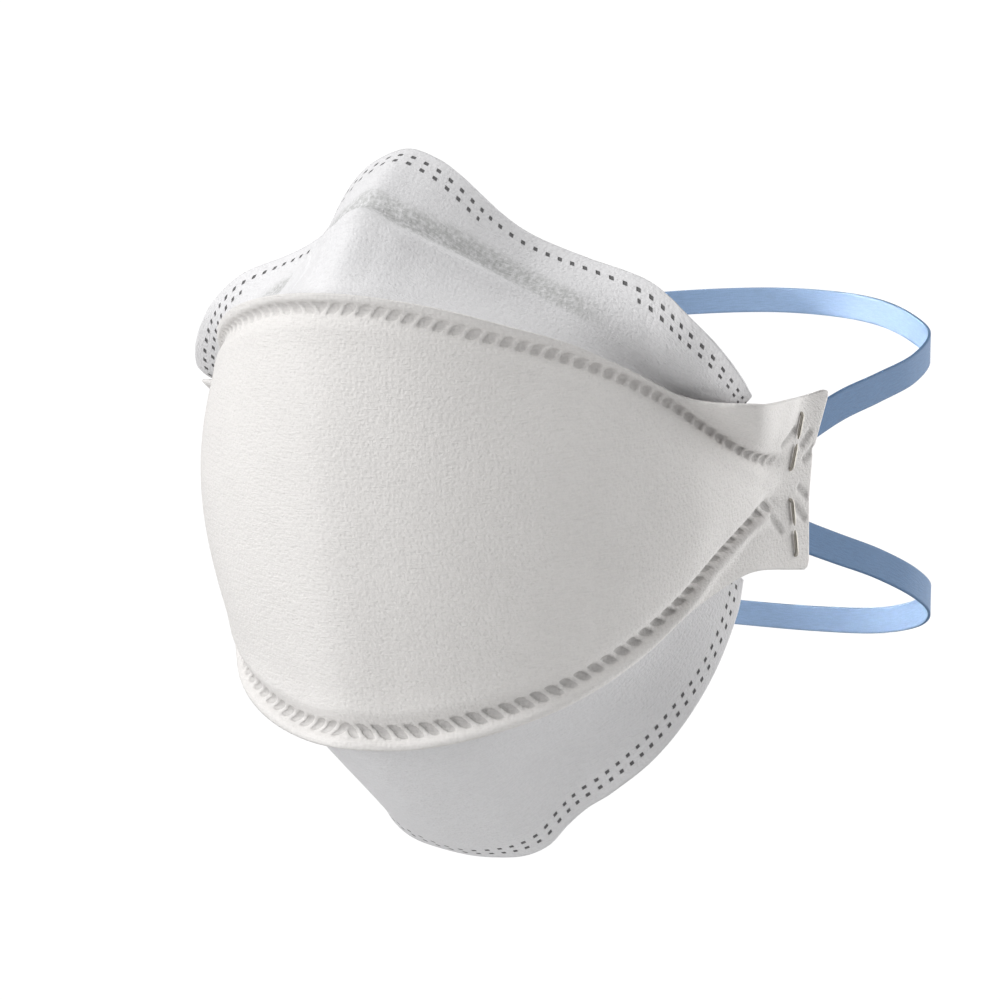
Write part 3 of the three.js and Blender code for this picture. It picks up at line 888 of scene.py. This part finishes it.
nose_sheet.data.materials.append(cloth_finish(
    "outer_cloth_nose", OUTER_COLOUR, 0.12, 0.20, welds=edge_welds(TOP_WELD_ROWS), tint=clip_seen_and_shaded))
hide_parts("top_panel")
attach(nose_sheet, "root")

# %% Chin panel
BOTTOM_WELDS = 31.0
BOTTOM_WELD_ROWS = [
    (EDGE_MARGIN, 0.5, 31.9),
    (EDGE_MARGIN + ROW_SPACING, 0.5, 30.9),
]

chin_sheet, flat_x, flat_y = flat_grid("chin_panel", PANEL_COLUMNS, PANEL_ROWS)
shares = flat_x
u = (1 - flat_y) / 2
chin, chin_height = panel_points(shares, u, LOWER_SEAM, BOTTOM_EDGE, BOTTOM_SWELL, -1)
in_from_edge = (1 - u) * chin_height
edge = 1 - smooth_step(0.3, 3.0, in_from_edge)
chin_sheet.data.uv_layers.new(name="welds")
fill_map(chin_sheet.data, "welds", 0.5 + BOTTOM_WELDS * np.abs(shares), in_from_edge)
finish_sheet(chin_sheet, chin, 0.0, {"pressed_and_shaded": np.zeros(shares.shape)}, edge)
chin_sheet.data.materials.append(cloth_finish(
    "outer_cloth_chin", OUTER_COLOUR, 0.10, 0.22, welds=edge_welds(BOTTOM_WELD_ROWS)))
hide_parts("bottom_panel")
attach(chin_sheet, "root")

# %% [markdown]
# ## The nose clip
# A soft metal strip is held behind the nose panel, so that the wearer can pinch it to the bridge of
# the nose. Its shape is right as packed, so it keeps its mesh and only gets its finish: dull
# aluminium with fine lines from rolling.

# %% Nose clip finish
clip_finish, shader, start = new_finish("nose_clip_metal")
place = start.out("ShaderNodeTexCoord", output=3)
rolled = start.out("ShaderNodeTexNoise", Vector=start.out(
    "ShaderNodeMapping", _0=place, Scale=(150, 150, 5000)), Scale=1.0, Detail=3.0)
dents = start.out("ShaderNodeTexNoise", Vector=place, Scale=260.0, Detail=2.0)
set_sockets(
    shader,
    Metallic=1.0,
    Base_Color=dents.tint((0.50, 0.51, 0.50), (0.68, 0.69, 0.68)),
    Roughness=0.32 + 0.25 * rolled,
    Normal=start.out("ShaderNodeBump", Height=rolled * 0.3 + dents, Strength=0.5, Distance=0.1 * MM),
)
nose_clip = bpy.data.objects["nose_clip"]
nose_clip.data.materials.clear()
nose_clip.data.materials.append(clip_finish)

# %% [markdown]
# ## The head bands
# Two flat elastic bands run from behind one tab, round the back of the head, to behind the other.
# They are under light tension and keep their width upright, so each is modelled directly: a grid
# laid along a smooth line through the table's points, with a thickness. The elastic is smooth, with
# a faint grain along it. Both faces are one blue elastic: the outer face is painted darker as painted
# shade and the inner face lighter as painted light.

# %% Elastic finishes
# One elastic in two blues: the outer is darkened as painted shade, the inner lightened as painted light.
SHADED_OUTER_BLUE = (0.058, 0.152, 0.310)
LIT_INNER_BLUE = (0.30, 0.44, 0.67)


def elastic_finish(name, colour):
    """Smooth elastic with a faint grain along it."""
    finish, shader, start = new_finish(name)
    uv = start.out("ShaderNodeUVMap", {"uv_map": "cloth"})
    grain = fibre_field(start, uv, 0.0, 3.0, 0.35)
    specks = start.out("ShaderNodeTexNoise", {"noise_dimensions": "2D"}, Vector=uv, Scale=3.0,
                       Detail=2.0)
    shade = (grain * 0.6 + specks * 0.4).ramp(0.25, 0.75)
    set_sockets(
        shader,
        Base_Color=shade.tint(tuple(0.90 * c for c in colour), tuple(1.10 * c for c in colour)),
        Roughness=0.56 + 0.12 * specks,
        Normal=start.out("ShaderNodeBump", Height=grain * 0.05 + specks * 0.03, Strength=1.0,
                         Distance=MM),
    )
    return finish


elastic = [elastic_finish("elastic_outer_painted_shade", SHADED_OUTER_BLUE), elastic_finish("elastic_inner_painted_light", LIT_INNER_BLUE)]

# %% Band lines
UPPER_BAND = [
    (55.4, 13.6, 6.4),
    (56.6, 19.0, 8.2),
    (57.8, 28.0, 10.9),
    (58.9, 41.0, 13.9),
    (60.0, 59.0, 16.4),
    (60.3, 79.0, 19.2),
    (56.7, 98.5, 22.9),
    (46.3, 115.0, 26.2),
    (33.3, 129.0, 28.8),
    (18.0, 139.5, 30.2),
    (0.0, 143.5, 30.8),
]
LOWER_BAND = [
    (55.2, 13.2, -6.6),
    (56.2, 18.2, -8.5),
    (57.4, 27.0, -11.6),
    (59.0, 38.0, -15.0),
    (61.5, 56.7, -20.6),
    (62.8, 75.6, -27.2),
    (59.7, 94.0, -33.8),
    (51.0, 109.8, -40.0),
    (37.0, 121.4, -44.6),
    (19.0, 128.2, -46.8),
    (0.0, 130.4, -47.4),
]
BAND_WIDTH = 6.2
BAND_THICKNESS = 0.6
BAND_STEPS = 420
BANDS = [
    ("upper_band", UPPER_BAND, "upper_strap"),
    ("lower_band", LOWER_BAND, "lower_strap"),
]


def smooth_line(points, count):
    """Points at even distances along a smooth (centripetal Catmull-Rom) line through the points."""
    points = np.vstack([2 * points[0] - points[1], points, 2 * points[-1] - points[-2]])
    knots = np.sqrt(np.linalg.norm(np.diff(points, axis=0), axis=-1))
    pieces = []
    for i in range(1, len(points) - 2):
        p0, p1, p2, p3 = points[i - 1:i + 3]
        d0, d1, d2 = knots[i - 1:i + 2]
        m1 = ((p1 - p0) / d0 - (p2 - p0) / (d0 + d1) + (p2 - p1) / d1) * d1
        m2 = ((p2 - p1) / d1 - (p3 - p1) / (d1 + d2) + (p3 - p2) / d2) * d1
        u = np.linspace(0, 1, 60, endpoint=False)[:, None]
        pieces.append(p1 + u * (m1 + u * (3 * (p2 - p1) - 2 * m1 - m2 + u * (m1 + m2 - 2 * (p2 - p1)))))
    line = np.vstack([*pieces, points[-2]])
    length = np.insert(np.cumsum(np.linalg.norm(np.diff(line, axis=0), axis=-1)), 0, 0)
    at = np.linspace(0, length[-1], count)
    return np.stack([np.interp(at, length, line[:, k]) for k in range(3)], -1), length[-1]


def band(name, rows):
    """An elastic band on edge along the table's line and its mirror image."""
    half = np.array(rows, float)
    mirror = half[-2::-1] * (-1, 1, 1)
    line, length = smooth_line(np.vstack([half, mirror]), BAND_STEPS + 1)
    ahead = unit(np.gradient(line, axis=0))
    wide = unit(np.array([0.0, 0.0, 1.0]) - ahead[:, 2:] * ahead)
    sheet, _, flat_y = flat_grid(name, BAND_STEPS, 12)
    points = line[None] + wide[None] * (flat_y[..., None] * BAND_WIDTH / 2)
    for finish in elastic:
        sheet.data.materials.append(finish)
    finish_sheet(sheet, points, thickness=BAND_THICKNESS, side=0)
    print(name, "is", round(length), "mm long")
    return sheet


for name, rows, node in BANDS:
    piece = band(name, rows)
    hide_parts(node)
    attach(piece, "root")

# %% [markdown]
# ## Staples
# Each band end is held by one wire staple. Its crown lies against the band on the inside; the legs
# come out through the tab and are clinched towards each other. It is modelled as the wire is bent:
# a round face is extruded along the straight parts and spun round the bends. One is shaped at the
# origin and copied to its four places.

# %% Bend one staple
STAPLE_CROWN = 11.4
CLINCH = 5.2
CLINCH_OUT = 0.6
CROWN_OUT = -3.1
WIRE_RADIUS = 0.36
WIRE_POINT = 0.9
POINT_SHARE = 0.35
BEND_RADIUS = 0.7
WIRE_SIDES = 12


def extrude_wire(x, z):
    """Extrudes the selected end face by a distance in millimetres."""
    bpy.ops.mesh.extrude_region_move(TRANSFORM_OT_translate={"value": (x * MM, 0, z * MM)})


def bend_wire(x, z):
    """Spins the selected end face a quarter turn about a centre in the XZ plane."""
    bpy.ops.mesh.spin(steps=5, angle=math.pi / 2, center=(x * MM, 0, z * MM), axis=(0, 1, 0))


half = STAPLE_CROWN / 2
bpy.ops.object.select_all(action="DESELECT")
bpy.ops.mesh.primitive_circle_add(vertices=WIRE_SIDES, radius=WIRE_RADIUS * MM, fill_type="NGON",
                                  location=(CLINCH_OUT * MM, 0, (half - CLINCH) * MM))
first_staple = bpy.context.active_object
bpy.ops.object.transform_apply(location=True)
bpy.ops.object.mode_set(mode="EDIT")
bpy.ops.mesh.select_all(action="SELECT")
extrude_wire(0, WIRE_POINT)
extrude_wire(0, CLINCH - BEND_RADIUS - WIRE_POINT)
bend_wire(CLINCH_OUT - BEND_RADIUS, half - BEND_RADIUS)
extrude_wire(CROWN_OUT - CLINCH_OUT + 2 * BEND_RADIUS, 0)
bend_wire(CROWN_OUT + BEND_RADIUS, half - BEND_RADIUS)
extrude_wire(0, -(STAPLE_CROWN - 2 * BEND_RADIUS))
bend_wire(CROWN_OUT + BEND_RADIUS, -half + BEND_RADIUS)
extrude_wire(CLINCH_OUT - CROWN_OUT - 2 * BEND_RADIUS, 0)
bend_wire(CLINCH_OUT - BEND_RADIUS, -half + BEND_RADIUS)
extrude_wire(0, CLINCH - BEND_RADIUS - WIRE_POINT)
extrude_wire(0, WIRE_POINT)
bpy.ops.mesh.select_all(action="SELECT")
bpy.ops.mesh.normals_make_consistent(inside=False)
bpy.ops.object.mode_set(mode="OBJECT")
for vertex in first_staple.data.vertices:
    if abs(vertex.co.z) < (half - CLINCH + WIRE_POINT / 2) * MM and vertex.co.x > 0:
        vertex.co.x = (CLINCH_OUT + POINT_SHARE * (vertex.co.x / MM - CLINCH_OUT)) * MM
        vertex.co.y *= POINT_SHARE
print("staple wire", [round(1000 * d, 2) for d in first_staple.dimensions], "mm",
      len(first_staple.data.polygons), "faces")

# %% Staple finish and places
STAPLES = {
    "upper_staple": ((58.4, 18.4, 8.4), 0.32),
    "lower_staple": ((58.3, 17.9, -8.6), -0.17),
}
TAB_AHEAD = Vector((0.22, 1, 0)).normalized()

wire_finish, shader, start = new_finish("staple_wire")
place = start.out("ShaderNodeTexCoord", output=3)
scratches = start.out("ShaderNodeTexNoise", Vector=place, Scale=2600.0, Detail=3.0)
set_sockets(
    shader,
    Metallic=1.0,
    Base_Color=scratches.tint((0.30, 0.27, 0.22), (0.62, 0.60, 0.56)),
    Roughness=0.25 + 0.3 * scratches,
    Normal=start.out("ShaderNodeBump", Height=scratches, Strength=0.6, Distance=0.05 * MM),
)
first_staple.data.materials.append(wire_finish)


def staple_frame(middle, lean, side):
    """Matrix that puts the staple on the tab at side +1 or -1."""
    flip = Vector((side, 1, 1))
    out = TAB_AHEAD.cross(Vector((0, 0, 1))) * flip
    crown = (Vector((0, 0, 1)) + lean * TAB_AHEAD).normalized() * flip
    turn = Matrix((out, crown.cross(out), crown)).transposed().to_4x4()
    return Matrix.Translation(Vector(middle) * flip * MM) @ turn


for name, (middle, lean) in STAPLES.items():
    for side, word in ((1, "left"), (-1, "right")):
        bpy.ops.object.select_all(action="DESELECT")
        first_staple.select_set(True)
        bpy.context.view_layer.objects.active = first_staple
        bpy.ops.object.duplicate()
        staple = bpy.context.active_object
        staple.name = staple.data.name = f"{name}_wire_{word}"
        staple.matrix_world = staple_frame(middle, lean, side)
        bpy.ops.object.transform_apply(location=True, rotation=True, scale=True)
        bpy.ops.object.shade_smooth_by_angle(angle=math.radians(50))
        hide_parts(f"{name}_{word}")
        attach(staple, "root")
bpy.data.objects.remove(first_staple)
